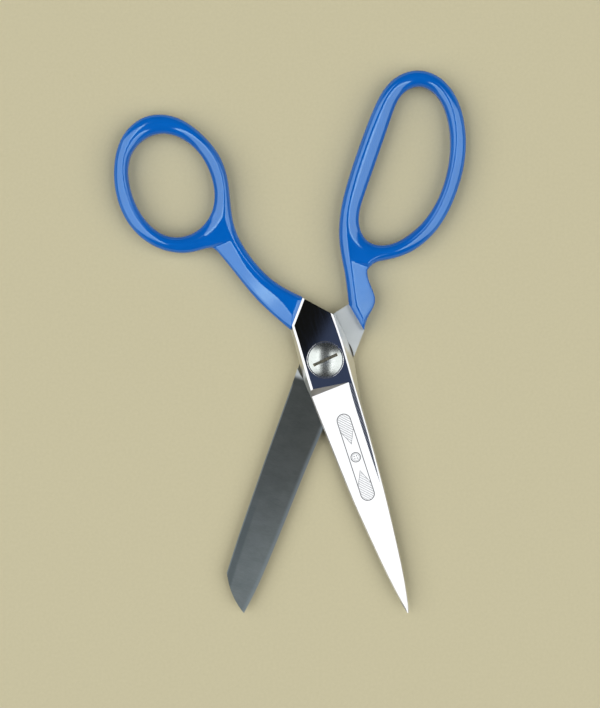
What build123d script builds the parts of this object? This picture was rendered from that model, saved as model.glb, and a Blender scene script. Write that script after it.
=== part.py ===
from build123d import *
import math
import os

# Left-handed bent trimmers (fabric shears), in millimetres.
# The row frame: origin on the pivot axis at the surface that the shears lie on, +Z up
# towards the screw head, blades towards -Y, finger rings towards +Y.
#
# Each half is drawn in its own drawing frame: pivot at the origin, inner face on the
# mating plane Z = 0, outer face up, blade towards -Y, cutting edge towards -X and spine
# towards +X, as the half stands when the shears are closed. The lower half is then turned
# over, and both halves are swung apart to the half-open pose that they are stored in.

# ---------------------------------------------------------------- driving dimensions
half_opening = 18.0        # degrees that each half is swung from the closed position
half_thickness = 4.2       # one half at the joint; the handles are twice as thick
running_gap = 0.10         # between the two inner faces
inner_z = running_gap / 2

joint_end_y = -10.25       # where the flat joint ends and the blade begins
tip_y = -95.9
edge_land = 0.08           # the cutting edge's own thickness
bevel_width = 0.45         # ground bevel along the cutting edge
bevel_height = 0.60
hollow_land = 0.7          # flat left each side of the hollow-ground inner face
hollow_radius = 160.0      # of the wheel that grinds the hollow
hollow_runout = 20.0       # length over which the hollow deepens below the joint
row_spacing = 6.0          # between the stations that the blade's surfaces pass through
side_run = 6.0             # how far the panel's cutter runs past the cutting edge
run_up = 4.0               # how far it starts above the joint's end
run_out = 1.0              # and how far it runs past the tip
bevel_share = 0.25         # the bevel takes at most this part of a narrow tip's width
overrun_share = 0.3        # of the panel's width that its slope runs on past the ridge
blank_flat_share = 0.3     # where the unground blank's flat starts, of the panel's width
blank_shoulder_share = 0.1

skin = 1.2                 # thickness of the handle coating
handle_round = 2.2         # rounding along the handle's edges
crotch_round = 3.0         # rounding in plan where ring and shank meet
neck_length = 1.2          # how far the handle's core runs into the joint
tail_length = 9.0          # how far a handle's outline runs on before it is trimmed
shoulder_chamfer = 0.8     # plan width of the chamfer between joint flat and handle
chamfer_slope = 0.55       # how far a chamfer goes down for its plan width

screw_shank_r = 3.0
screw_clearance = 0.05     # radial, screw in the upper half and thread in the lower
screw_thread_r = 2.5
screw_head_r = 6.1
screw_rim = 0.5
screw_dome = 1.3
slot_width = 1.1
slot_depth = 0.75
slot_angle = 24.7          # degrees from +X
washer_r = 6.65
washer_bore_r = 3.2
washer_thickness = 0.55
washer_round = 0.2
seat_gap = 0.02            # between faces that only slide on each other
spot_face_r = 10.4         # relieved disc around the screw on the lower inner face
spot_face_depth = 0.4
nut_across_flats = 8.0
nut_thickness = 1.4
nut_recess_r = 5.0
nut_recess_depth = 1.5

far = 200.0                # larger than the tool, for blocks that trim it

# ---------------------------------------------------------------- the upper half in plan
# One row for each station along the half:
# y, edge side at the inner face, edge-side shoulder, flat's edge-side border,
# flat's spine-side border, spine-side shoulder, spine at the inner face, thickness
upper_joint = [
    (26.0, -8.6, -7.6, -6.8, 7.0, 7.65, 8.0, 4.2),
    (14.9, -8.6, -7.6, -6.8, 7.0, 7.65, 8.1, 4.2),
    (4.6, -9.0, -7.9, -7.05, 7.2, 7.8, 9.7, 4.2),
    (-2.5, -9.5, -8.2, -7.3, 7.0, 7.6, 9.8, 4.2),
    (joint_end_y, -9.1, -8.3, -7.45, 6.7, 7.2, 8.8, 4.2),
]
# Below the joint the edge side is ground away, so a row needs only:
# y, cutting edge, ridge, flat's spine-side border, spine-side shoulder, spine, thickness
# Where the ridge lies past the flat's border, the panel has ground the flat away.
upper_blade = [
    (joint_end_y, -9.1, 5.5, 6.7, 7.2, 8.8, 4.2),
    (-18.0, -8.65, 5.05, 6.5, 7.0, 7.75, 4.05),
    (-29.0, -7.95, 4.95, 6.2, 6.65, 7.2, 3.8),
    (-40.0, -7.2, 4.95, 5.6, 6.15, 6.65, 3.55),
    (-52.0, -6.3, 4.95, 4.75, 5.45, 5.95, 3.25),
    (-66.0, -4.75, 3.85, 3.65, 4.35, 4.8, 2.85),
    (-80.0, -3.0, 2.65, 2.35, 3.0, 3.4, 2.05),
    (-90.0, -1.35, 1.35, 1.0, 1.6, 1.9, 1.25),
    (tip_y, 0.0, 0.36, 0.28, 0.42, 0.55, 0.35),
]
upper_top_edge = [(-0.45, 23.2), (7.75, 14.6)]
upper_shoulder = [(-0.6, 24.0), (-8.6, 14.1)]
# The step from joint flat to blade panel runs from the edge side to the ridge.
upper_step = [(-7.4, -8.7), (5.5, joint_end_y)]
upper_step_foot = (-8.45, -11.2)

thumb_ring_side = [
    upper_shoulder[0], (-8.0, 31.7), (-14.0, 43.5), (-16.2, 56.0), (-13.6, 70.4), (-13.2, 80.0),
    (-17.3, 91.3), (-24.6, 100.0), (-34.2, 103.2), (-43.6, 99.8), (-50.2, 91.0),
    (-53.2, 79.7), (-52.0, 67.9), (-46.0, 58.0), (-37.0, 52.4), (-25.9, 51.2),
]
thumb_shank_side = [(-25.9, 51.2), (-22.3, 42.4), (-16.9, 28.5), upper_shoulder[1]]
thumb_hole = [
    (-18.7, 77.0), (-22.3, 88.8), (-32.0, 95.8), (-42.8, 92.4), (-47.6, 80.0),
    (-46.0, 68.0), (-40.2, 60.0), (-31.8, 58.0), (-22.5, 63.2),
]

# ---------------------------------------------------------------- the lower half in plan
lower_joint = [
    (26.0, -10.1, -9.1, -8.0, 5.4, 6.4, 7.6, 4.2),
    (14.2, -10.1, -9.1, -8.0, 5.7, 6.7, 7.9, 4.2),
    (4.6, -9.5, -8.5, -7.4, 6.1, 7.1, 8.4, 4.2),
    (-2.5, -9.1, -8.1, -7.0, 6.3, 7.2, 8.5, 4.2),
    (joint_end_y, -8.8, -8.0, -6.9, 6.5, 7.2, 8.55, 4.2),
]
lower_blade = [
    (joint_end_y, -8.8, 5.3, 6.5, 7.2, 8.55, 4.2),
    (-24.0, -6.95, 5.0, 7.0, 7.5, 8.95, 3.9),
    (-40.0, -5.5, 5.3, 7.5, 8.0, 9.45, 3.55),
    (-56.0, -4.45, 5.8, 7.9, 8.4, 9.8, 3.15),
    (-70.0, -3.45, 6.3, 8.3, 8.8, 10.05, 2.8),
    (-83.0, -2.3, 6.8, 8.4, 8.9, 10.0, 2.45),
    (-91.0, -1.2, 7.0, 8.4, 8.9, 9.9, 2.25),
    (-96.5, -0.3, 7.2, 8.4, 8.9, 9.8, 2.1),
]
lower_top_edge = [(-1.65, 21.4), (7.5, 10.5)]
lower_shoulder = [(-1.75, 21.7), (-10.1, 14.4)]
lower_step = [(-6.9, -8.7), (5.3, joint_end_y)]
lower_step_foot = (-8.15, -11.2)
# The wide blade's tip is clipped along an arc from spine to point.
tip_clip = [(9.95, -84.0), (4.3, -92.2), (-0.42, -95.95)]
clip_run = 9.0             # how far the cutter of the tip runs past the outline

finger_ring_side = [
    lower_shoulder[0], (2.7, 31.2), (7.5, 40.2), (10.8, 50.0), (12.1, 61.0), (12.1, 78.0),
    (11.4, 91.0), (7.9, 103.6), (1.0, 109.2), (-7.0, 109.6), (-15.5, 104.6),
    (-21.6, 96.0), (-25.6, 84.0), (-26.4, 72.0), (-24.0, 57.6), (-16.8, 45.9), (-5.4, 38.6),
]
finger_shank_side = [(-5.4, 38.6), (-4.6, 35.8), (-6.9, 31.2), (-10.6, 26.8)]
finger_heel_side = [(-10.6, 26.8), (-10.8, 24.6), (-9.9, 18.6), lower_shoulder[1]]
finger_hole = [
    (-20.9, 76.0), (-19.5, 62.0), (-14.3, 51.6), (-8.0, 46.1), (-1.5, 45.4), (3.4, 50.2),
    (4.9, 60.0), (4.6, 74.0), (4.3, 91.5), (2.4, 100.6), (-2.2, 104.0), (-7.9, 103.1),
    (-14.2, 97.2), (-19.2, 86.2),
]


# ---------------------------------------------------------------- helpers
def section(y, profile):
    """A closed outline in the plane at y, from (x, z) points."""
    return Wire.make_polygon([(x, y, z) for x, z in profile], close=True)


def left_of(line, low=-far, high=far):
    """A block on the left of a line in plan, between two heights."""
    start, end = Vector(*line[0]), Vector(*line[1])
    turn = math.degrees(math.atan2(end.Y - start.Y, end.X - start.X))
    block = Box(far, far, high - low, align=(Align.CENTER, Align.MIN, Align.MIN))
    return Pos(0, 0, low) * Pos((start + end) / 2) * Rot(0, 0, turn) * block


def moved_left(line, distance):
    """The line moved towards its own left by a distance."""
    start, end = Vector(*line[0]), Vector(*line[1])
    across = (end - start).normalized().rotate(Axis.Z, 90) * distance
    return [tuple(start + across), tuple(end + across)]


def turned_back(line):
    """The same line, run the other way."""
    return [line[1], line[0]]


def evenly_spaced(rows):
    """Rows about row_spacing apart, on smooth curves through the given ones."""
    slopes = []
    for i in range(len(rows)):
        before, after = rows[max(i - 1, 0)], rows[min(i + 1, len(rows) - 1)]
        run = after[0] - before[0]
        slopes.append([(b - a) / run for a, b in zip(before, after)])
    result = []
    for start, end, start_slope, end_slope in zip(rows, rows[1:], slopes, slopes[1:]):
        run = end[0] - start[0]
        count = max(1, round(abs(run) / row_spacing))
        for step in range(count):
            t = step / count
            ease = t * t * (3 - 2 * t)
            leave, arrive = run * t * (1 - t) ** 2, run * t * t * (1 - t)
            result.append(tuple(a + ease * (b - a) + leave * m - arrive * n for a, b, m, n
                                in zip(start, end, start_slope, end_slope)))
    return result + [rows[-1]]


# ---------------------------------------------------------------- one steel half
def joint_body(rows):
    """The flat joint: slanted side walls, narrow chamfers and a flat outer face."""
    wires = []
    for y, left, left_shoulder, flat_left, flat_right, right_shoulder, right, top in rows:
        left_z = top - chamfer_slope * (flat_left - left_shoulder)
        right_z = top - chamfer_slope * (right_shoulder - flat_right)
        profile = [(left, inner_z), (right, inner_z), (right_shoulder, right_z),
                   (flat_right, top), (flat_left, top), (left_shoulder, left_z)]
        wires.append(section(y, profile))
    return Solid.make_loft(wires)


def blade_body(rows):
    """The blade before its panel is ground: full height from edge to spine."""
    wires = []
    for y, edge, ridge, flat_right, right_shoulder, spine, top in rows:
        shoulder_z = top - chamfer_slope * (right_shoulder - flat_right)
        width = ridge - edge
        profile = [(edge, inner_z), (spine, inner_z), (right_shoulder, shoulder_z),
                   (flat_right, top), (edge + blank_flat_share * width, top),
                   (edge + blank_shoulder_share * width, shoulder_z)]
        wires.append(section(y, profile))
    return Solid.make_loft(wires)


def panel_cutter(rows, step, step_foot):
    """What grinding removes: all above the sloped panel and the bevel of the edge."""
    before = (rows[0][0] + run_up,) + rows[0][1:]
    after = (rows[-1][0] - run_out,) + rows[-1][1:]
    high = 3 * half_thickness
    wires = []
    for y, edge, ridge, flat_right, right_shoulder, spine, top in [before] + rows + [after]:
        bevel_x = edge + min(bevel_width, bevel_share * (ridge - edge))
        bevel_z = inner_z + bevel_height * (bevel_x - edge) / bevel_width
        slope = (top - bevel_z) / (ridge - bevel_x)
        overrun = overrun_share * (ridge - edge)
        over_x = ridge + overrun
        over_z = top + overrun * slope
        profile = [(edge - side_run, inner_z + edge_land), (edge, inner_z + edge_land),
                   (bevel_x, bevel_z), (over_x, over_z), (over_x, high),
                   (edge - side_run, high)]
        wires.append(section(y, profile))
    start = Vector(*step[0], half_thickness)
    end = Vector(*step[1], half_thickness)
    foot = Vector(*step_foot, inner_z + bevel_height)
    facet = Plane(origin=start, x_dir=end - start, z_dir=(foot - start).cross(end - start))
    return split(Solid.make_loft(wires), bisect_by=facet, keep=Keep.TOP)


def hollow_cutter(rows):
    """The shallow hollow ground into the inner face, with a flat land each side."""
    wires = []
    for y, edge, ridge, flat_right, right_shoulder, spine, top in rows[1:-1]:
        start = Vector(edge + hollow_land, y, inner_z)
        end = Vector(spine - hollow_land, y, inner_z)
        depth = (end.X - start.X) ** 2 / (8 * hollow_radius)
        depth *= min(1.0, (joint_end_y - y) / hollow_runout)
        arc = Edge.make_three_point_arc(start, (start + end) / 2 + Vector(0, 0, depth), end)
        below = Vector(0, 0, -1)
        rest = Wire.make_polygon([end, end + below, start + below, start], close=False)
        wires.append(Wire([arc] + list(rest.edges())))
    return Solid.make_loft(wires)


def shoulder_wedge(shoulder):
    """What the chamfer between the joint's flat and the handle takes off."""
    start, end = Vector(*shoulder[0]), Vector(*shoulder[1])
    along = (end - start).normalized()
    plane = Plane(origin=start, x_dir=along.rotate(Axis.Z, 90), z_dir=along)
    drop = chamfer_slope * shoulder_chamfer
    low, high = half_thickness - 2 * drop, half_thickness + drop
    profile = Polyline((-shoulder_chamfer, low), (2 * shoulder_chamfer, high),
                       (-shoulder_chamfer, high), close=True)
    return plane.location * extrude(make_face(profile), far, both=True)


def forged_half(joint_rows, blade_rows, top_edge, shoulder, step, step_foot, core):
    """One forging: blade, flat joint and handle core, in its drawing frame."""
    blade_rows = evenly_spaced(blade_rows)
    joint = joint_body(joint_rows)
    joint -= left_of(top_edge)
    joint -= left_of(turned_back(shoulder))
    joint -= shoulder_wedge(shoulder)
    steel = joint + blade_body(blade_rows)
    steel -= panel_cutter(blade_rows, step, step_foot)
    steel -= hollow_cutter(blade_rows)
    return steel + core


# ---------------------------------------------------------------- handles
def drawn_in(points, distance, closed=False):
    """The points of a curve that runs anticlockwise, each moved inwards by a distance."""
    if closed:
        before, after = points[-1:] + points[:-1], points[1:] + points[:1]
    else:
        before, after = points[:1] + points[:-1], points[1:] + points[-1:]
    moved = []
    for point, last, following in zip(points, before, after):
        run = Vector(*following) - Vector(*last)
        inwards = run.normalized().rotate(Axis.Z, 90) * distance
        moved.append((point[0] + inwards.X, point[1] + inwards.Y))
    return moved


def handle_plan(curves, hole, inset):
    """A ring with its shank and a tail that runs on into the joint, less the hole."""
    joined = [point for curve in curves for point in curve[:-1]] + curves[-1][-1:]
    joined = drawn_in(joined, inset)
    outline = []
    first = 0
    for curve in curves:
        last = first + len(curve) - 1
        outline.append(Spline(*joined[first:last + 1]))
        first = last
    ends = [joined[0], joined[-1]]
    tail = moved_left(ends, tail_length)
    outline.append(Polyline(ends[1], tail[1], tail[0], ends[0]))
    plan = make_face(outline)
    plan = fillet(plan.vertices(), crotch_round)
    return plan - make_face(Spline(*drawn_in(hole, -inset, closed=True), periodic=True))


def handle_blank(curves, hole, inset):
    """A handle as thick as both halves, rounded along its edges, less the inset."""
    depth = half_thickness - inset
    blank = extrude(handle_plan(curves, hole, inset), depth, both=True)
    rims = blank.edges().filter_by_position(Axis.Z, depth, depth)
    rims += blank.edges().filter_by_position(Axis.Z, -depth, -depth)
    return fillet(rims, handle_round - inset)


def handle(curves, hole):
    """The coating and the steel core of one handle, which ends at the joint's shoulder."""
    shoulder = [curves[0][0], curves[-1][-1]]
    outer = handle_blank(curves, hole, 0.0) - left_of(shoulder)
    core = handle_blank(curves, hole, skin)
    core -= left_of(moved_left(shoulder, -skin), high=inner_z)
    core -= left_of(moved_left(shoulder, neck_length))
    return outer - core, core


# ---------------------------------------------------------------- the two halves
def bore(radius, low, high):
    """A round cutter on the pivot axis."""
    return Pos(0, 0, low) * Cylinder(radius, high - low, align=(Align.CENTER, Align.CENTER, Align.MIN))


def upper_half():
    """The thumb half in its drawing frame: steel and coating."""
    coating, core = handle([thumb_ring_side, thumb_shank_side], thumb_hole)
    steel = forged_half(upper_joint, upper_blade, upper_top_edge, upper_shoulder,
                        upper_step, upper_step_foot, core)
    steel -= bore(screw_shank_r + screw_clearance, -far, far)
    return steel, coating


def lower_half():
    """The finger half in its drawing frame: steel and coating."""
    curves = [finger_ring_side, finger_shank_side, finger_heel_side]
    coating, core = handle(curves, finger_hole)
    steel = forged_half(lower_joint, lower_blade, lower_top_edge, lower_shoulder,
                        lower_step, lower_step_foot, core)
    steel -= bore(screw_thread_r + screw_clearance, -far, far)
    steel -= bore(spot_face_r, inner_z - half_thickness, inner_z + spot_face_depth)
    steel -= bore(nut_recess_r, half_thickness - nut_recess_depth, far)
    steel -= tip_clip_cutter()
    return steel, coating


def tip_clip_cutter():
    """All beyond the arc that clips the wide blade's tip."""
    start, end = tip_clip[0], tip_clip[-1]
    outside = Polyline(end, (end[0], end[1] - clip_run),
                       (start[0] + clip_run, end[1] - clip_run),
                       (start[0] + clip_run, start[1]), start)
    return extrude(make_face([ThreePointArc(*tip_clip), outside]), far, both=True)


# ---------------------------------------------------------------- the pivot
def pivot_screw():
    """A domed, slotted screw whose threaded end stands flush in the nut."""
    washer_top = 2 * half_thickness + seat_gap + washer_thickness
    head_z = washer_top + seat_gap
    shoulder_z = half_thickness - inner_z - spot_face_depth + seat_gap
    screw = bore(screw_thread_r, 0.0, shoulder_z)
    screw += bore(screw_shank_r, shoulder_z, head_z)
    screw += bore(screw_head_r, head_z, head_z + screw_rim)
    dome_r = (screw_head_r**2 + screw_dome**2) / (2 * screw_dome)
    dome_top = head_z + screw_rim + screw_dome
    dome = Pos(0, 0, dome_top - dome_r) * Sphere(dome_r)
    screw += dome & bore(screw_head_r, head_z + screw_rim, far)
    slot = Box(3 * screw_head_r, slot_width, slot_depth, align=(Align.CENTER, Align.CENTER, Align.MAX))
    return screw - Pos(0, 0, dome_top) * Rot(0, 0, slot_angle) * slot


def spring_washer():
    """The thin ring between the screw's head and the upper half."""
    low = 2 * half_thickness + seat_gap
    ring = bore(washer_r, low, low + washer_thickness)
    ring = fillet(ring.edges().group_by(Axis.Z)[-1], washer_round)
    return ring - bore(washer_bore_r, -far, far)


def lock_nut():
    """The thin nut on the screw's end, flush with the lower half's outer face."""
    across_corners = nut_across_flats / math.cos(math.radians(30))
    nut = extrude(RegularPolygon(across_corners / 2, 6), nut_thickness)
    return nut - bore(screw_thread_r + screw_clearance, -far, far)


def save(shape, name):
    """One sub-part to its own file."""
    export_step(shape, f"parts/{name}.step")


os.makedirs("parts", exist_ok=True)
mating_plane = Pos(0, 0, half_thickness)
place_upper = mating_plane * Rot(0, 0, half_opening)
place_lower = mating_plane * Rot(0, 0, -half_opening) * Rot(0, 180, 0)

upper_steel, thumb_coating = upper_half()
lower_steel, finger_coating = lower_half()
save(place_upper * upper_steel, "upper_blade")
save(place_upper * thumb_coating, "thumb_handle_coating")
save(place_lower * lower_steel, "lower_blade")
save(place_lower * finger_coating, "finger_handle_coating")
save(pivot_screw(), "pivot_screw")
save(spring_washer(), "spring_washer")
save(lock_nut(), "lock_nut")
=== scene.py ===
import itertools
import math

import bmesh
import bpy
import numpy as np
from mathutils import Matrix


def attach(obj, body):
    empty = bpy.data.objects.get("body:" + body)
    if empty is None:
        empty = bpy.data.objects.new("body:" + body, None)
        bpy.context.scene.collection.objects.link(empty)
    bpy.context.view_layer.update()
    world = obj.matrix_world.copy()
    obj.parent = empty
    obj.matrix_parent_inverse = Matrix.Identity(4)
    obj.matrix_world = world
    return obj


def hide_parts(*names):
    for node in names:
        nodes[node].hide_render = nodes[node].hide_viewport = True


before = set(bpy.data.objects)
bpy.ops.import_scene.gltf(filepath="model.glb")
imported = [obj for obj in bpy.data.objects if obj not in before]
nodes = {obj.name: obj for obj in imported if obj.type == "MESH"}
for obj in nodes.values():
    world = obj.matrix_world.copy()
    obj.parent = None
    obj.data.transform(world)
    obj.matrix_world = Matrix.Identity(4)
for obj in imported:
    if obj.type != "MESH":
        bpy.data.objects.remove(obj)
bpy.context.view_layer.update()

# Shapes are worked out in millimetres in the drawing frame of each half: pivot at the
# origin, inner face at Z = 0, blade towards -Y, cutting edge towards -X. They are then
# placed in the row frame, in metres, as the CAD places its halves.
MM = 0.001
HALF_OPENING = math.radians(18.0)
HALF_THICKNESS = 4.2


def placed(points, mirrored):
    """Drawing-frame points in the row frame, in metres."""
    side = -1.0 if mirrored else 1.0
    turn = side * HALF_OPENING
    x, y, z = side * points[:, 0], points[:, 1], side * points[:, 2]
    cos, sin = math.cos(turn), math.sin(turn)
    return MM * np.column_stack([cos * x - sin * y, sin * x + cos * y, z + HALF_THICKNESS])


def eased(share):
    """0 up to 0 and 1 from 1 on, with a smooth rise between."""
    share = np.clip(share, 0.0, 1.0)
    return share * share * (3 - 2 * share)


# ---------------------------------------------------------------- plan curves
SPAN_STEPS = 40      # points per span when a curve's length is measured
CLOSING_ROUNDS = 4   # rounds that bring a place to the nearest point of a curve
CLOSING_STEP = 0.8   # the longest move in one such round, in spans
LEAST_SLOPE = 0.3    # keeps a round steady where the curve bends towards the point
JOIN_STEPS = 7       # points along a rounded corner, with its two ends


class Curve:
    """A smooth curve in plan through points, with its nearest point to any other."""

    def __init__(self, points, closed=False):
        knots = np.array(points, float)
        if closed:
            knots = np.vstack([knots, knots[:1]])
        self.closed = closed
        chord = np.diff(knots, axis=0)
        run = np.linalg.norm(chord, axis=1)
        count = len(run)
        rows = np.zeros((count + 1, count + 1))
        right = np.zeros((count + 1, 2))
        for i in range(1, count):
            rows[i, i - 1:i + 2] = run[i], 2 * (run[i - 1] + run[i]), run[i - 1]
            right[i] = 3 * (run[i] / run[i - 1] * chord[i - 1] + run[i - 1] / run[i] * chord[i])
        if closed:
            rows[0, [0, 1, count - 1]] = 2 * (run[-1] + run[0]), run[-1], run[0]
            right[0] = 3 * (run[0] / run[-1] * chord[-1] + run[-1] / run[0] * chord[0])
            rows[count, [0, count]] = 1.0, -1.0
        else:
            rows[0, :2] = 2.0, 1.0
            right[0] = 3 * chord[0] / run[0]
            rows[count, count - 1:] = 1.0, 2.0
            right[count] = 3 * chord[-1] / run[-1]
        slope = np.linalg.solve(rows, right)
        start, end = slope[:-1] * run[:, None], slope[1:] * run[:, None]
        self.powers = (knots[:-1], start, 3 * chord - 2 * start - end, start + end - 2 * chord)
        self.count = count

    def at(self, place):
        """Points at places along the curve, and the first and second derivatives there."""
        if self.closed:
            place = place % self.count
        span = np.clip(place.astype(int), 0, self.count - 1)
        t = (place - span)[:, None]
        a, b, c, d = (power[span] for power in self.powers)
        return a + t * (b + t * (c + t * d)), b + t * (2 * c + 3 * t * d), 2 * c + 6 * t * d

    def samples(self, spacing):
        """Evenly spaced points along the curve."""
        places = np.linspace(0, self.count, SPAN_STEPS * self.count + 1)
        fine = self.at(places[:-1] if self.closed else places)[0]
        steps = np.linalg.norm(np.diff(fine, axis=0), axis=1)
        length = np.concatenate([[0.0], np.cumsum(steps)])
        wanted = np.linspace(0, length[-1], max(3, int(length[-1] / spacing)) + 1)
        return np.column_stack([np.interp(wanted, length, fine[:, i]) for i in (0, 1)])

    def distance(self, points):
        """Distance to the curve, positive on its left."""
        tries = np.linspace(0, self.count, self.count // 2 + 1)
        marks = self.at(tries)[0]
        gap = 0.5 * (marks * marks).sum(axis=1) - points @ marks.T
        place = tries[gap.argmin(axis=1)]
        for _ in range(CLOSING_ROUNDS):
            spot, run, bend = self.at(place)
            off = spot - points
            pace = (run * run).sum(axis=1)
            slope = np.maximum(pace + (off * bend).sum(axis=1), LEAST_SLOPE * pace)
            move = (off * run).sum(axis=1) / slope
            place = place - np.clip(move, -CLOSING_STEP, CLOSING_STEP)
            if not self.closed:
                place = np.clip(place, 0, self.count)
        spot, run, _ = self.at(place)
        off = points - spot
        side = np.where(run[:, 0] * off[:, 1] - run[:, 1] * off[:, 0] < 0, -1.0, 1.0)
        return side * np.linalg.norm(off, axis=1)


def rounded_join(before, after, reach):
    """Two runs of points that meet at a corner, with the corner rounded off."""
    corner = before[-1]
    before = before[np.linalg.norm(before - corner, axis=1) > reach]
    after = after[np.linalg.norm(after - corner, axis=1) > reach]
    t = np.linspace(0, 1, JOIN_STEPS)[1:-1, None]
    arc = (1 - t) ** 2 * before[-1] + 2 * t * (1 - t) * corner + t ** 2 * after[0]
    middle = len(arc) // 2 + 1
    return np.vstack([before, arc[:middle]]), np.vstack([arc[middle - 1:], after])


# ---------------------------------------------------------------- handles
CREST = 4.2              # half the handle's thickness
SQUARE = 4.0             # how square the section is from rim to crest
RIDGE = 1.3              # below 2 the facets meet in a soft ridge
BLEND = 6.0              # how closely the facets of two sides meet
SPACING = 1.0            # between the outline's points
TAIL = 3.0               # how far the outline runs on past the cut at the shoulder
SIDE_ROUNDING = 1.4      # reach of the rounding at a corner of the shank's outline
CROTCH_ROUNDING = 2.6    # and at the crotch between ring and shank
RING_WIDTH = (4.0, 8.0)  # the ring's width from outline to hole is held within these
OUTER_SHARE = 0.48       # of the ring's width that slopes to its outline, on average
SHARE_SWING = 0.22       # it is this much more on the ring's -X side, and less on +X
SLOPED_SHARE = 0.96      # of the ring's width that its two slopes take together
SHANK_START = 3.0        # distance from the hole at which the ring starts to be shank
SHANK_RUN = 8.0
CROTCH_REACH = 7.0       # around the crotch the ring's rim is as narrow as the shank's
FACET_RUN = 1.2          # length over which the shank's facet sets in
END_CURVE = 1.5          # how the crest curves down at the shoulder
EVENING_ROUNDS = 3       # rounds that spread the mesh's points evenly
EVENING_SHARE = 0.6      # how far a point goes towards its neighbours' middle in each
PROBE = 0.01             # step at which the surface's slope is measured
SETTLING_STEP = 0.3      # the longest move that brings a point onto the surface


class Handle:
    """A moulded grip: one ring with a shank that ends at the joint's shoulder.

    ring and sides run along the outline from the shoulder round to the shoulder, and
    hole round the opening about centre. The facet slopes away from the ridge below
    facet_top. rims are the widths that slope off along the shank's two sides, and end is
    how far, and over what length, the crest drops at the shoulder.
    """

    def __init__(self, ring, sides, hole, centre, ridge, facet_top, facet_slope, rims, end):
        ring = Curve(ring).samples(SPACING)
        rest = Curve(sides[0]).samples(SPACING)
        for side in sides[1:]:
            rest, side = rounded_join(rest, Curve(side).samples(SPACING), SIDE_ROUNDING)
            rest = np.vstack([rest, side[1:]])
        across = rest[-1] - ring[0]
        across = np.array([-across[1], across[0]]) / np.linalg.norm(across)
        self.shoulder = ring[0], across
        ring, rest = rounded_join(ring, rest, CROTCH_ROUNDING)
        tail = np.linspace(TAIL, SPACING, int(TAIL))[:, None] * across
        self.outline = np.vstack([ring, rest])
        self.ring = Curve(np.vstack([ring[0] + tail, ring]))
        self.rest = Curve(np.vstack([rest, rest[-1] + tail[::-1]]))
        self.hole = Curve(Curve(hole, closed=True).samples(SPACING)[:-1], closed=True)
        self.centre = centre
        self.crotch = sides[0][0]
        self.ridge = Curve(ridge)
        self.facet_top = facet_top
        self.facet_slope = math.tan(math.radians(facet_slope))
        self.rims = rims
        self.end = end

    def fullness(self, x, y):
        """1 on the crest, 0 on the outline, and below 0 outside it."""
        points = np.column_stack([x, y])
        ring, rest, hole = (c.distance(points) for c in (self.ring, self.rest, self.hole))
        hole = -hole
        near_ring = np.abs(ring) < np.abs(rest)
        ring = np.where(near_ring, ring, np.abs(ring))
        rest = np.where(near_ring, np.abs(rest), rest)
        turn = np.arctan2(y - self.centre[1], x - self.centre[0])
        share = OUTER_SHARE - SHARE_SWING * np.cos(turn)
        width = np.clip(ring + hole, *RING_WIDTH)
        in_shank = eased((hole - SHANK_START) / SHANK_RUN)
        ring_reach = (1 - in_shank) * share * width + in_shank * self.rims[0]
        away = eased(np.hypot(x - self.crotch[0], y - self.crotch[1]) / CROTCH_REACH)
        ring_reach = away * ring_reach + (1 - away) * self.rims[1]
        hole_reach = (SLOPED_SHARE - share) * width
        facet = eased((self.facet_top - y) / FACET_RUN) * self.facet_slope
        fall = facet * np.maximum(-self.ridge.distance(points), 0.0) / CREST
        origin, across = self.shoulder
        past = (x - origin[0]) * across[0] + (y - origin[1]) * across[1]
        drop, drop_run = self.end
        short = [
            1 - np.maximum(1 - fall, 0.0) ** SQUARE,
            np.maximum(1 - ring / ring_reach, 0.0) ** RIDGE,
            np.maximum(1 - rest / self.rims[1], 0.0) ** RIDGE,
            np.maximum(1 - hole / hole_reach, 0.0) ** RIDGE,
            drop * np.maximum(1 + past / drop_run, 0.0) ** END_CURVE,
        ]
        return 1 - sum(s ** BLEND for s in short) ** (1 / BLEND)

    def field(self, points):
        """Above 0 inside the grip."""
        level = (np.abs(points[:, 2]) / CREST) ** SQUARE
        return self.fullness(points[:, 0], points[:, 1]) - level

    def settle(self, points):
        """The points moved along the field's slope onto the surface."""
        value = self.field(points)
        slope = [(self.field(points + PROBE * np.eye(3)[axis]) - value) / PROBE
                 for axis in (0, 1)]
        height = points[:, 2]
        slope.append(-SQUARE / CREST * np.sign(height) * (np.abs(height) / CREST) ** (SQUARE - 1))
        slope = np.column_stack(slope)
        step = value / np.maximum((slope ** 2).sum(axis=1), 1e-4)
        step = slope * step[:, None]
        size = np.linalg.norm(step, axis=1, keepdims=True)
        return points - step * np.minimum(1.0, SETTLING_STEP / np.maximum(size, 1e-9))


def cell_points(value):
    """Which cells the surface passes through, and the mean of its crossings in each."""
    shape = tuple(np.array(value.shape) - 1)
    corner = np.stack(np.meshgrid(*[np.arange(n) for n in shape], indexing="ij"), axis=-1)
    total = np.zeros(shape + (3,))
    hits = np.zeros(shape)

    def cut(offset):
        return value[tuple(slice(o, o + n) for o, n in zip(offset, shape))]

    for axis in range(3):
        for edge in itertools.product((0, 1), repeat=2):
            offset = np.insert(edge, axis, 0)
            a, b = cut(offset), cut(offset + np.eye(3, dtype=int)[axis])
            crossed = (a > 0) != (b > 0)
            t = np.where(crossed, a / np.where(crossed, a - b, 1.0), 0.0)
            spot = (corner + offset).astype(float)
            spot[..., axis] += t
            total += spot * crossed[..., None]
            hits += crossed
    used = hits > 0
    return used, total[used] / hits[used][:, None]


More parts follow.
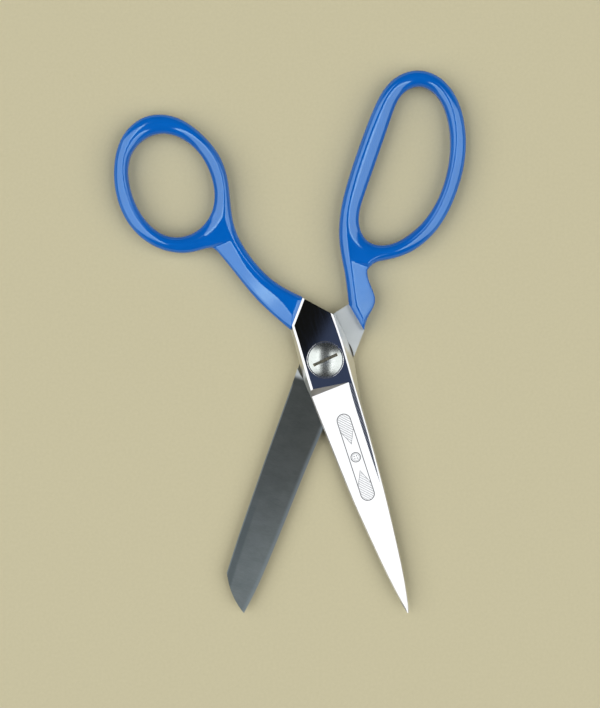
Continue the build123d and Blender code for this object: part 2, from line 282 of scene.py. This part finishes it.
def quads_between(inside, number):
    """A quad round every edge of the net's cells that crosses the surface."""
    quads = []
    for axis in range(3):
        here = np.take(inside, range(inside.shape[axis] - 1), axis=axis)
        ahead = np.take(inside, range(1, inside.shape[axis]), axis=axis)
        u, v = (axis + 1) % 3, (axis + 2) % 3
        spots = np.argwhere(here != ahead)
        outward = here[tuple(spots.T)]
        around = []
        for du, dv in ((-1, -1), (0, -1), (0, 0), (-1, 0)):
            cell = spots.copy()
            cell[:, u] += du
            cell[:, v] += dv
            around.append(number[tuple(cell.T)])
        around = np.column_stack(around)
        around[~outward] = around[~outward][:, ::-1]
        quads.append(around)
    return np.vstack(quads)


def wrapped(handle, step):
    """Points and quads of an even net around a handle."""
    margin, height = 4 * step, CREST + 1.5 * step
    low = np.append(handle.outline.min(axis=0) - margin, -height)
    high = np.append(handle.outline.max(axis=0) + margin, height)
    axes = [np.arange(a, b + step, step) for a, b in zip(low, high)]
    x, y = np.meshgrid(axes[0], axes[1], indexing="ij")
    plan = handle.fullness(x.ravel(), y.ravel()).reshape(x.shape)
    value = plan[:, :, None] - (np.abs(axes[2]) / CREST) ** SQUARE
    used, points = cell_points(value)
    number = np.full(used.shape, -1)
    number[used] = np.arange(used.sum())
    return low + step * points, quads_between(value > 0, number)


def evened(handle, points, quads):
    """The net with its points spread evenly over the surface."""
    a = quads.ravel()
    b = np.roll(quads, -1, axis=1).ravel()
    joined = np.bincount(a, minlength=len(points)) + np.bincount(b, minlength=len(points))
    points = handle.settle(points)
    for _ in range(EVENING_ROUNDS):
        middle = np.column_stack([
            np.bincount(a, points[b, i], len(points)) + np.bincount(b, points[a, i], len(points))
            for i in range(3)]) / joined[:, None]
        points = handle.settle((1 - EVENING_SHARE) * points + EVENING_SHARE * middle)
    return handle.settle(points)


def grip(name, handle, mirrored, step):
    """The grip as a mesh object, cut off square at the joint's shoulder."""
    points, quads = wrapped(handle, step)
    points = evened(handle, points, quads)
    mesh = bpy.data.meshes.new(name)
    mesh.from_pydata(placed(points, mirrored).tolist(), [], quads.tolist())
    build = bmesh.new()
    build.from_mesh(mesh)
    origin, across = handle.shoulder
    spot, ahead = placed(np.array([[*origin, 0.0], [*(origin + across), 0.0]]), mirrored)
    everything = build.verts[:] + build.edges[:] + build.faces[:]
    cut = bmesh.ops.bisect_plane(build, geom=everything, dist=1e-7, plane_co=spot,
                                 plane_no=ahead - spot, clear_outer=True)
    edges = [e for e in cut["geom_cut"] if isinstance(e, bmesh.types.BMEdge)]
    caps = bmesh.ops.holes_fill(build, edges=edges, sides=0)["faces"]
    for face in build.faces:
        face.smooth = True
    for face in caps:
        face.smooth = False
    for edge in edges:
        edge.smooth = False
    bmesh.ops.recalc_face_normals(build, faces=build.faces)
    build.to_mesh(mesh)
    build.free()
    piece = bpy.data.objects.new(name, mesh)
    bpy.context.scene.collection.objects.link(piece)
    return piece


thumb_handle = Handle(
    ring=[(-0.6, 24.0), (-8.0, 31.7), (-14.0, 43.5), (-16.2, 56.0), (-13.6, 70.4), (-13.2, 80.0),
          (-17.3, 91.3), (-24.6, 100.0), (-34.2, 103.2), (-43.6, 99.8), (-50.2, 91.0),
          (-53.2, 79.7), (-52.0, 67.9), (-46.0, 58.0), (-37.0, 52.4), (-25.9, 51.2)],
    sides=[[(-25.9, 51.2), (-22.3, 42.4), (-16.9, 28.5), (-8.6, 14.1)]],
    hole=[(-18.7, 77.0), (-22.3, 88.8), (-32.0, 95.8), (-42.8, 92.4), (-47.6, 80.0),
          (-46.0, 68.0), (-40.2, 60.0), (-31.8, 58.0), (-22.5, 63.2)],
    centre=(-33.0, 77.0),
    ridge=[(-22.0, 60.0), (-19.1, 51.3), (-17.1, 42.1), (-13.5, 33.5), (-9.4, 26.9),
           (-7.2, 21.6), (-5.0, 14.0)],
    facet_top=52.0, facet_slope=14.0, rims=(2.2, 2.4), end=(0.43, 1.3))
finger_handle = Handle(
    ring=[(-1.75, 21.7), (2.7, 31.2), (7.5, 40.2), (10.8, 50.0), (12.1, 61.0), (12.1, 78.0),
          (11.4, 91.0), (7.9, 103.6), (1.0, 109.2), (-7.0, 109.6), (-15.5, 104.6),
          (-21.6, 96.0), (-25.6, 84.0), (-26.4, 72.0), (-24.0, 57.6), (-16.8, 45.9),
          (-5.4, 38.6)],
    sides=[[(-5.4, 38.6), (-4.6, 35.8), (-6.9, 31.2), (-10.6, 26.8)],
           [(-10.6, 26.8), (-10.8, 24.6), (-9.9, 18.6), (-10.1, 14.4)]],
    hole=[(-20.9, 76.0), (-19.5, 62.0), (-14.3, 51.6), (-8.0, 46.1), (-1.5, 45.4), (3.4, 50.2),
          (4.9, 60.0), (4.6, 74.0), (4.3, 91.5), (2.4, 100.6), (-2.2, 104.0), (-7.9, 103.1),
          (-14.2, 97.2), (-19.2, 86.2)],
    centre=(-8.0, 76.0),
    ridge=[(3.5, 42.0), (2.3, 36.6), (0.4, 31.9), (-2.5, 25.6), (-4.5, 22.2), (-6.8, 19.2),
           (-10.4, 15.2)],
    facet_top=37.6, facet_slope=10.8, rims=(2.8, 1.5), end=(0.72, 2.2))

net_step = 0.4
thumb = grip("thumb_grip", thumb_handle, False, net_step)
finger = grip("finger_grip", finger_handle, True, net_step)


# ---------------------------------------------------------------- shader helpers
def rgb(red, green, blue):
    """A colour as the shader nodes take it."""
    return (red, green, blue, 1)


class Tree:
    """A shader tree that is put together node by node."""

    def __init__(self, tree):
        self.tree = tree

    def set(self, node, values):
        for name, value in values.items():
            socket = node.inputs[name.replace("_", " ") if isinstance(name, str) else name]
            if isinstance(value, bpy.types.NodeSocket):
                self.tree.links.new(value, socket)
            else:
                socket.default_value = value

    def add(self, kind, values=None, out=0, **settings):
        node = self.tree.nodes.new("ShaderNode" + kind)
        for name, value in settings.items():
            setattr(node, name, value)
        self.set(node, values or {})
        return node.outputs[out]

    def calc(self, operation, a, b=0.0):
        return self.add("Math", {0: a, 1: b}, operation=operation)

    def product(self, *factors):
        """All the factors multiplied."""
        result = factors[0]
        for factor in factors[1:]:
            result = self.calc("MULTIPLY", result, factor)
        return result

    def radius(self, x, y):
        """Distance from the origin in plan."""
        return self.calc("SQRT", self.calc("ADD", self.product(x, x), self.product(y, y)))

    def band(self, value, low, high):
        """value, eased from 0 at low to 1 at high."""
        return self.add("MapRange", {0: value, 1: low, 2: high, 3: 0.0, 4: 1.0},
                        interpolation_type="SMOOTHSTEP")

    def mix(self, share, a, b):
        """Two numbers mixed."""
        return self.add("Mix", {0: share, 2: a, 3: b}, data_type="FLOAT")

    def tint(self, share, a, b, blend="MIX"):
        """Two colours mixed."""
        return self.add("Mix", {0: share, 6: a, 7: b}, out=2, data_type="RGBA", blend_type=blend)

    def filtered(self, colour, filtering):
        """A colour as a coloured filter leaves it."""
        return self.tint(1.0, colour, filtering, "MULTIPLY")

    def drawn(self, mirrored, stretch=(1, 1, 1)):
        """Millimetres in a half's drawing frame, then stretched."""
        spot = self.add("TexCoord", out=3)
        turn = HALF_OPENING if mirrored else -HALF_OPENING
        spot = self.add("Mapping", {"Vector": spot, "Rotation": (0, 0, turn)})
        side = -1000.0 if mirrored else 1000.0
        scale = (side * stretch[0], 1000.0 * stretch[1], side * stretch[2])
        return self.add("Mapping", {"Vector": spot, "Scale": scale})

    def track(self, value, points):
        """Piecewise linear between (value, result) points, from the highest value down."""
        result = points[0][1]
        for (high, start), (low, end) in zip(points, points[1:]):
            share = self.add("MapRange", {0: value, 1: high, 2: low, 3: 0.0, 4: end - start})
            result = self.calc("ADD", result, share)
        return result

    def noise(self, vector, scale, detail=2.0, rough=0.5):
        return self.add("TexNoise", {"Vector": vector, "Scale": scale, "Detail": detail,
                                     "Roughness": rough})

    def split(self, vector):
        node = self.tree.nodes.new("ShaderNodeSeparateXYZ")
        self.tree.links.new(vector, node.inputs[0])
        return node.outputs

    def bump(self, height, strength, depth, normal=None):
        values = {"Height": height, "Strength": strength, "Distance": depth}
        if normal is not None:
            values["Normal"] = normal
        return self.add("Bump", values)


class Shader(Tree):
    """A material on one Principled BSDF."""

    def __init__(self, name, **settings):
        self.material = bpy.data.materials.new(name)
        self.material.use_nodes = True
        super().__init__(self.material.node_tree)
        self.surface = self.tree.nodes["Principled BSDF"]
        self.set(self.surface, settings)


# ---------------------------------------------------------------- handle coating
def grip_material(name, mirrored):
    """Glossy blue moulding with a faint orange peel and a few fine rubs."""
    m = Shader(name, IOR=1.5, Specular_IOR_Level=0.95, Specular_Tint=rgb(0.66, 0.95, 1.0))
    spot = m.drawn(mirrored)
    cloud = m.band(m.noise(spot, 0.06, 3.0), 0.3, 0.7)
    peel = m.noise(spot, 0.9)
    grit = m.noise(spot, 7.0)
    rubs = m.band(m.noise(m.drawn(mirrored, (0.25, 3.0, 1.0)), 1.6, 3.0), 0.62, 0.78)
    colour = m.tint(cloud, rgb(0.0004, 0.110, 0.48), rgb(0.0007, 0.127, 0.54))
    colour = m.tint(m.product(rubs, 0.08), colour, rgb(0.05, 0.2, 0.75))
    rough = m.mix(rubs, m.mix(m.band(peel, 0.3, 0.7), 0.06, 0.10), 0.22)
    normal = m.bump(peel, 0.25, 0.06 * MM)
    normal = m.bump(grit, 0.15, 0.01 * MM, normal)
    m.set(m.surface, {"Base Color": colour, "Roughness": rough, "Normal": normal})
    return m.material


# ---------------------------------------------------------------- etched mark
# On the upper blade: a long frame with hatched ends round a plain four-hole button
MARK_AT = (-0.4, -36.7)
MARK_HALF = (2.45, 16.2)
MARK_LINE = 0.17         # half the width of an etched line
BORDER = 0.05            # softness of an etched border
CHEVRON_AT = 5.0         # from the mark's middle to the hatching's nearest point
CHEVRON_SLOPE = 2.2
STRIPE_PITCH = 6.0       # radians a millimetre
HATCH_DEPTH = 0.5        # how strongly the hatching shows beside the lines
BUTTON_R = (1.7, 1.25)   # the button's rim, and the fine ring inside it
BUTTON_HOLE_AT = 0.45
BUTTON_HOLE_R = 0.22


def etching(m, x, y):
    """1 where the mark's frame, hatching and button are etched."""
    x = m.calc("SUBTRACT", x, MARK_AT[0])
    y = m.calc("SUBTRACT", y, MARK_AT[1])
    across, along = m.calc("ABSOLUTE", x), m.calc("ABSOLUTE", y)

    def line(distance, width=MARK_LINE):
        return m.band(m.calc("ABSOLUTE", distance), width + BORDER, width - BORDER)

    def circle(at_x, at_y, size):
        off_x, off_y = m.calc("SUBTRACT", x, at_x), m.calc("SUBTRACT", y, at_y)
        return m.calc("SUBTRACT", m.radius(off_x, off_y), size)

    bend = MARK_HALF[1] - MARK_HALF[0]
    past = m.calc("MAXIMUM", m.calc("SUBTRACT", along, bend), 0.0)
    frame_line = m.calc("SUBTRACT", m.radius(x, past), MARK_HALF[0])
    inside = m.band(frame_line, 0.0, -2 * BORDER)
    # the hatching fills both ends as far as a chevron
    nearest = m.calc("ADD", m.product(across, CHEVRON_SLOPE), CHEVRON_AT)
    chevron = m.calc("SUBTRACT", along, nearest)
    stripes = m.calc("SINE", m.product(m.calc("ADD", x, y), STRIPE_PITCH))
    hatched = m.product(m.band(stripes, -0.6, -0.2), m.band(chevron, 0.0, 2 * BORDER), inside,
                        HATCH_DEPTH)
    parts = [line(frame_line), m.product(line(chevron, 0.2), inside), hatched,
             line(circle(0.0, 0.0, BUTTON_R[0])), line(circle(0.0, 0.0, BUTTON_R[1]), 0.07)]
    for side, end in itertools.product((-BUTTON_HOLE_AT, BUTTON_HOLE_AT), repeat=2):
        parts.append(m.band(circle(side, end, BUTTON_HOLE_R), BORDER, -BORDER))
    total = parts[0]
    for part in parts[1:]:
        total = m.calc("MAXIMUM", total, part)
    return total


# ---------------------------------------------------------------- steel halves
BLADE_TOP = -10.0        # where the joint ends and the blade's ground inner face begins
SPOT_FACE_R = 10.6       # border of the relieved disc round the screw
GRAIN = (0.3, 0.7)       # the part of a noise that spans its darkest and lightest

# The wide blade's cutting edge and spine in the drawing frame: (y, x)
CUTTING_EDGE = [(-10.0, -8.8), (-24.0, -6.95), (-40.0, -5.5), (-56.0, -4.45), (-70.0, -3.45),
                (-83.0, -2.3), (-91.0, -1.2), (-97.0, -0.2)]
SPINE = [(-10.0, 8.55), (-24.0, 8.95), (-40.0, 9.45), (-56.0, 9.8), (-70.0, 10.05),
         (-83.0, 10.0), (-91.0, 9.9), (-97.0, 9.8)]


def ground_colour(m, y, across, mirrored):
    """The blade's inner face: dark and cross-ground, lighter towards the tip."""
    tipwards = m.calc("POWER", m.band(y, -15.0, -92.0), 1.6)
    ground = m.tint(tipwards, rgb(0.120, 0.130, 0.123), rgb(0.285, 0.325, 0.325))
    shades = m.noise(m.drawn(mirrored, (0.6, 1.0, 1.0)), 0.13, 4.0, 0.65)
    ground = m.tint(m.band(across, *GRAIN), m.filtered(ground, rgb(0.93, 0.93, 0.93)),
                    m.filtered(ground, rgb(1.07, 1.07, 1.07)))
    return m.tint(m.band(shades, 0.35, 0.65), m.filtered(ground, rgb(0.85, 0.86, 0.85)), ground)


def joint_colour(m, x, y, mirrored):
    """The joint's inner face: satin, with the relieved disc round the screw in shade."""
    cloud = m.band(m.noise(m.drawn(mirrored), 0.08, 3.0), *GRAIN)
    satin = m.tint(cloud, rgb(0.50, 0.535, 0.535), rgb(0.58, 0.615, 0.615))
    disc = m.band(m.radius(x, y), SPOT_FACE_R, SPOT_FACE_R - 0.3)
    return m.tint(disc, satin, rgb(0.10, 0.10, 0.08))


def edge_highlights_and_shade(m, x, y, inside):
    """The wide blade's inner face with painted highlights along its cutting edge and spine, and
    painted shade beside its spine.
    """
    edge = m.calc("SUBTRACT", x, m.track(y, CUTTING_EDGE))
    spine = m.calc("SUBTRACT", m.track(y, SPINE), x)
    # painted highlights: lighter bluish lines along the cutting edge and along the spine
    highlight_lines = m.calc("MAXIMUM", m.product(m.band(edge, 1.8, 0.1), 0.55),
                   m.product(m.band(spine, 0.5, 0.3), 0.5))
    highlight_lines = m.product(highlight_lines, m.band(y, BLADE_TOP, BLADE_TOP - 4.0))
    # painted shade: a dark band beside the spine, towards the tip
    shade = m.product(m.band(spine, 3.2, 2.2), m.band(y, -50.0, -66.0), 0.45)
    inside = m.tint(shade, inside, rgb(0.10, 0.13, 0.14))
    return m.tint(highlight_lines, inside, rgb(0.40, 0.47, 0.50))


def steel_material(name, mirrored):
    """Forged and ground steel: polished outside, cross-ground on the inner face."""
    m = Shader(name, Metallic=1.0)
    x, y, z = m.split(m.drawn(mirrored))
    up = m.split(m.add("NewGeometry", out=1))[2]
    outer = m.product(up, -1.0 if mirrored else 1.0)
    inner = m.band(m.product(outer, -1.0), 0.985, 0.995)
    wall = m.band(m.calc("ABSOLUTE", up), 0.80, 0.70)
    heel = m.band(y, BLADE_TOP, BLADE_TOP + 2.0)
    along = m.noise(m.drawn(mirrored, (1.0, 0.02, 1.0)), 5.0, 4.0, 0.6)
    across = m.noise(m.drawn(mirrored, (0.08, 1.0, 1.0)), 7.0, 4.0, 0.7)

    inside = m.tint(heel, ground_colour(m, y, across, mirrored), joint_colour(m, x, y, mirrored))
    if mirrored:
        inside = edge_highlights_and_shade(m, x, y, inside)
    polish = m.tint(m.band(along, 0.35, 0.7), rgb(0.45, 0.46, 0.47), rgb(0.50, 0.505, 0.51))
    # the steep walls are painted darker low down and lighter high up: painted shade and light by
    # height
    forged_with_painted_shade = m.tint(m.band(z, 1.5, 3.8), rgb(0.50, 0.49, 0.47), rgb(0.80, 0.79, 0.77))
    colour = m.tint(inner, m.tint(wall, polish, forged_with_painted_shade), inside)

    rough = m.mix(m.band(along, 0.45, 0.75), 0.03, 0.06)
    # the narrow flat left beside the panel keeps its slanting grinding marks
    marks = m.band(m.calc("SINE", m.product(m.calc("SUBTRACT", y, x), 8.0)), -0.2, 0.5)
    strip = m.product(m.band(outer, 0.985, 0.995), m.band(y, BLADE_TOP - 0.4, BLADE_TOP - 0.9))
    rough = m.mix(m.product(strip, marks), rough, 0.28)
    rough = m.mix(wall, rough, 0.34)
    rough_inside = m.mix(heel, m.mix(m.band(across, *GRAIN), 0.29, 0.35), 0.45)
    rough = m.mix(inner, rough, rough_inside)
    if not mirrored:
        etched = m.product(etching(m, x, y), m.band(outer, 0.5, 0.8))
        colour = m.tint(m.product(etched, 0.75), colour, rgb(0.03, 0.03, 0.033))
        rough = m.mix(etched, rough, 0.5)
    strength = m.mix(inner, m.mix(wall, 0.03, 0.2), 0.12)
    normal = m.bump(m.mix(inner, along, across), strength, 0.01 * MM)
    m.set(m.surface, {"Base Color": colour, "Roughness": rough, "Normal": normal})
    return m.material


# ---------------------------------------------------------------- screw, washer and nut
SLOT_ANGLE = math.radians(24.7)  # from +X in the row frame
SLOT_HALF_WIDTH = 0.56
SLOT_SHADE_Z = 10.12             # just above the slot's floor
SLOT_REACH = 4.6                 # within the slot's two ends


def in_slot(m, radius, z):
    """1 in the screw's slot, and also straight below it, down to the screw's lower end."""
    turn = (0, 0, HALF_OPENING - SLOT_ANGLE)
    off = m.split(m.add("Mapping", {"Vector": m.drawn(False), "Rotation": turn}))[1]
    return m.product(m.band(m.calc("ABSOLUTE", off), SLOT_HALF_WIDTH + 0.04, SLOT_HALF_WIDTH),
                     m.band(z, SLOT_SHADE_Z + 0.08, SLOT_SHADE_Z),
                     m.band(radius, SLOT_REACH + 0.3, SLOT_REACH))


def turned_material(name, colour, rough, slotted=False):
    """Turned steel: fine rings round the pivot, and a few dull spots."""
    m = Shader(name, Metallic=1.0)
    spot = m.drawn(False)
    x, y, z = m.split(spot)
    radius = m.radius(x, y)
    rings = m.noise(m.add("CombineXYZ", {0: radius, 1: z}), 6.0, 3.0)
    spots = m.noise(spot, 0.9, 4.0)
    dull = rgb(*(0.93 * c for c in colour[:3]))
    shade = m.tint(m.band(spots, 0.4, 0.75), colour, dull)
    if slotted:
        # painted shade: the slot is painted a dull olive, as is everything straight below it down
        # to the screw's lower end
        shade = m.tint(in_slot(m, radius, z), shade, rgb(0.34, 0.32, 0.23))
    m.set(m.surface, {
        "Base Color": shade,
        "Roughness": m.mix(m.band(spots, 0.35, 0.7), rough, rough + 0.03),
        "Normal": m.bump(rings, 0.04, 0.01 * MM)})
    return m.material


# ---------------------------------------------------------------- the pieces and their bodies
def dress(piece, material):
    """Every material slot of the piece takes the one material."""
    if not piece.data.materials:
        piece.data.materials.append(material)
    for slot in piece.material_slots:
        slot.material = material


dress(nodes["upper_blade"], steel_material("upper_steel", False))
dress(nodes["lower_blade"], steel_material("lower_steel", True))
dress(nodes["pivot_screw"], turned_material("screw_steel", rgb(0.40, 0.425, 0.41), 0.25, True))
dress(nodes["spring_washer"], turned_material("washer_steel", rgb(0.60, 0.61, 0.62), 0.14))
dress(nodes["lock_nut"], turned_material("nut_steel", rgb(0.55, 0.54, 0.50), 0.28))
dress(thumb, grip_material("thumb_blue", False))
dress(finger, grip_material("finger_blue", True))

for piece, body, node in ((thumb, "upper_half", "thumb_handle_coating"),
                          (finger, "lower_half", "finger_handle_coating")):
    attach(piece, body)
    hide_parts(node)

# ---------------------------------------------------------------- floor
FLOOR_Z = -0.03 * MM     # just below the faces that the shears lie on
FLOOR_HALF = 1.5
floor_mesh = bpy.data.meshes.new("floor")
build = bmesh.new()
bmesh.ops.create_grid(build, x_segments=2, y_segments=2, size=FLOOR_HALF)
build.to_mesh(floor_mesh)
build.free()
floor = bpy.data.objects.new("floor", floor_mesh)
floor.location = (0, 0, FLOOR_Z)
bpy.context.scene.collection.objects.link(floor)
board = Shader("pale_board", Roughness=0.6)
grain = board.noise(board.add("TexCoord", out=3), 900.0, 3.0)
pale = board.tint(grain, rgb(0.52, 0.475, 0.30), rgb(0.575, 0.525, 0.335))
board.set(board.surface, {"Base Color": pale})
dress(floor, board.material)

# ---------------------------------------------------------------- studio light
# Two softboxes run along Y, left and right of the zenith. Borders are degrees from the
# zenith in the XZ plane, and ends are the direction's Y, each from dark to lit.
BOX_FAR = (70.0, 63.0)
BOX_NEAR = (14.0, 19.0)
LEFT_BACK_END = (0.52, 0.44)
RIGHT_BACK_END = (0.38, 0.31)
BOX_FRONT_END = (-0.60, -0.52)
BOX_CORE = (24.0, 16.0)  # towards the zenith the boxes are brighter

world = bpy.data.worlds.new("studio")
bpy.context.scene.world = world
world.use_nodes = True
sky = Tree(world.node_tree)
x, y, z = sky.split(sky.add("TexCoord", out=0))
tilt = sky.product(sky.calc("ARCTAN2", x, z), 180 / math.pi)


def softbox(side, back_end):
    """1 towards the softbox on one side of the zenith, up to its back end."""
    far = sky.band(tilt, side * BOX_FAR[0], side * BOX_FAR[1])
    near = sky.band(tilt, side * BOX_NEAR[0], side * BOX_NEAR[1])
    return sky.product(far, near, sky.band(y, *back_end))


boxes = sky.calc("ADD", softbox(-1, LEFT_BACK_END), softbox(1, RIGHT_BACK_END))
boxes = sky.product(boxes, sky.band(y, *BOX_FRONT_END))
core = sky.band(sky.calc("ABSOLUTE", tilt), *BOX_CORE)
box_light = sky.tint(core, rgb(2.25, 2.25, 2.25), rgb(6.0, 6.0, 6.0))
# the zenith, which the flat joint mirrors, is black on one side and navy on the other
across = sky.calc("SUBTRACT", y, sky.product(x, 1.9))
zenith = sky.tint(sky.band(across, -0.005, -0.013), rgb(0.012, 0.012, 0.010),
                  rgb(0.075, 0.10, 0.18))
room = sky.tint(sky.band(z, 0.35, 0.02), rgb(0.035, 0.038, 0.045), rgb(0.75, 0.73, 0.70))
room = sky.tint(sky.band(z, 0.985, 0.955), zenith, room)
glow = sky.tint(boxes, room, box_light)
sky.set(world.node_tree.nodes["Background"], {"Color": glow, "Strength": 1.0})
world.cycles.sampling_method = "MANUAL"
world.cycles.sample_map_resolution = 1024

# ---------------------------------------------------------------- camera
CAMERA_AT = (-0.00907, 0.00209, 0.9)  # it looks straight down
camera_data = bpy.data.cameras.new("camera")
camera_data.sensor_width = 36.0
camera_data.lens = 126.4
camera = bpy.data.objects.new("camera", camera_data)
camera.location = CAMERA_AT
bpy.context.scene.collection.objects.link(camera)
bpy.context.scene.camera = camera
bpy.context.scene.view_settings.view_transform = "Standard"
